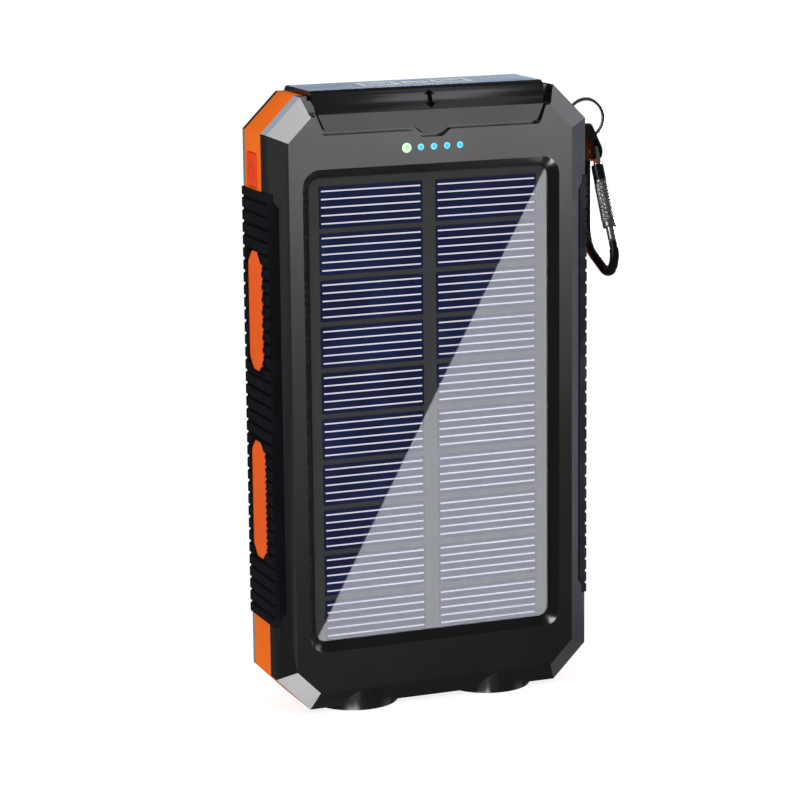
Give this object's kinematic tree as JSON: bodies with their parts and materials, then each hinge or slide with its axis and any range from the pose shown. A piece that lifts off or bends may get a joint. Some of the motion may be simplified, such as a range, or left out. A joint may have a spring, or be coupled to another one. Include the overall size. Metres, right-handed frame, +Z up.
{
  "type": "solar phone charger",
  "caption": "Rugged eight-sided power bank with a front solar panel, port flap, side power button, back compass, end torches and a hanging carabiner.",
  "frame": {"origin": "centre of the flat middle panel on the back face, half way up the case and on its centre line", "axes": "+X to the right seen from the front, towards the ring and carabiner; +Y out of the back, with the solar panel facing -Y; +Z up towards the port flap"},
  "size_m": [0.0834, 0.0289, 0.1385],
  "materials": {
    "shell_black": "fine satin grain",
    "frame_orange": "satin",
    "grip_rubber": "matt",
    "inlay_orange": "matt",
    "foam_tape": "matt",
    "board_black": "gloss",
    "cell_navy": "gloss",
    "line_silver": "bright",
    "cover_clear": "polished",
    "flap_black": "fine satin grain",
    "gasket_black": "matt",
    "pin_steel": "plated",
    "button_orange": "satin",
    "switch_white": "satin",
    "switch_steel": "plated",
    "board_green": "gloss",
    "board_white": "gloss",
    "socket_steel": "nickel plated",
    "tongue_black": "satin",
    "chip_black": "matt",
    "capacitor_tan": "matt",
    "led_white": "gloss",
    "light_green": "glowing",
    "light_blue": "glowing",
    "pouch_foil": "foil",
    "tab_nickel": "plain",
    "reflector_bright": "vacuum plated",
    "lens_clear": "polished",
    "lead_red": "satin",
    "compass_black": "gloss",
    "dial_black": "matt",
    "jewel_brass": "polished",
    "ring_steel": "bright",
    "clip_black": "gloss anodised",
    "gate_silver": "bright",
    "sleeve_silver": "knurled"
  },
  "bodies": {
    "case": {"front_shell": "shell_black", "rear_shell": "shell_black", "mid_frame": "frame_orange", "grip_left": "grip_rubber", "grip_right": "grip_rubber", "grip_inlays_left": "inlay_orange", "grip_inlays_right": "inlay_orange", "solar_tape": "foam_tape", "solar_board": "board_black", "solar_cells": "cell_navy", "solar_lines": "line_silver", "solar_cover": "cover_clear", "flap_hinge_pins": "pin_steel", "tact_switch": "switch_steel", "main_board": "board_green", "usb_a_shells": "socket_steel", "usb_a_tongues": "tongue_black", "micro_usb_shell": "socket_steel", "micro_usb_tongue": "tongue_black", "micro_usb_riser": "tongue_black", "power_inductor": "chip_black", "control_chips": "chip_black", "capacitors": "capacitor_tan", "indicator_leds": "led_white", "green_light_pipe": "light_green", "blue_light_pipes": "light_blue", "battery_cell_rear": "pouch_foil", "battery_cell_front": "pouch_foil", "battery_pads": "foam_tape", "battery_tabs": "tab_nickel", "battery_protection_board": "board_green", "torch_board": "board_white", "torch_leds": "led_white", "torch_reflector_left": "reflector_bright", "torch_reflector_right": "reflector_bright", "torch_lens_left": "lens_clear", "torch_lens_right": "lens_clear", "torch_leads": "lead_red", "compass_housing": "compass_black", "compass_window": "lens_clear", "compass_pivot": "jewel_brass", "case_screws": "pin_steel", "screw_caps": "grip_rubber"},
    "flap": {"port_flap": "flap_black", "flap_gasket": "gasket_black"},
    "button": {"power_button": "button_orange", "switch_plunger": "switch_white"},
    "compass_card": {"compass_dial": "dial_black", "compass_jewel": "jewel_brass"},
    "ring": {"split_ring": "ring_steel"},
    "carabiner": {"carabiner_body": "clip_black", "gate_rivet": "gate_silver"},
    "gate": {"carabiner_gate": "gate_silver", "gate_collar": "clip_black"},
    "sleeve": {"gate_sleeve": "sleeve_silver"}
  },
  "joints": [
    {"name": "flap_hinge", "type": "hinge", "parent": "case", "child": "flap", "pos_m": [0, -0.0025, 0.067], "axis": [-1, 0, 0], "range_deg": [0, 105]},
    {"name": "power_press", "type": "slide", "parent": "case", "child": "button", "axis": [1, 0, 0], "range_m": [0, 0.0004], "stiffness_N_per_m": 800},
    {"name": "compass_spin", "type": "hinge", "parent": "case", "child": "compass_card", "pos_m": [0, 0, 0.0516], "axis": [0, -1, 0], "continuous": true},
    {"name": "ring_swing", "type": "hinge", "parent": "case", "child": "ring", "pos_m": [0.0363, -0.0111, 0.0594], "axis": [0, 0, -1], "range_deg": [-30, 4]},
    {"name": "carabiner_swing", "type": "hinge", "parent": "ring", "child": "carabiner", "pos_m": [0.0407, -0.0111, 0.055], "axis": [1, 0, 0], "range_deg": [-100, 100]},
    {"name": "gate_hinge", "type": "hinge", "parent": "carabiner", "child": "gate", "pos_m": [0.0407, -0.0161, 0.0526], "axis": [1, 0, 0], "range_deg": [0, 22], "stiffness_Nm_per_rad": 0.02, "springref_deg": -5.73},
    {"name": "sleeve_lock", "type": "slide", "parent": "gate", "child": "sleeve", "axis": [0, -0.4434, -0.8963], "range_m": [0, 0.0048]}
  ]
}
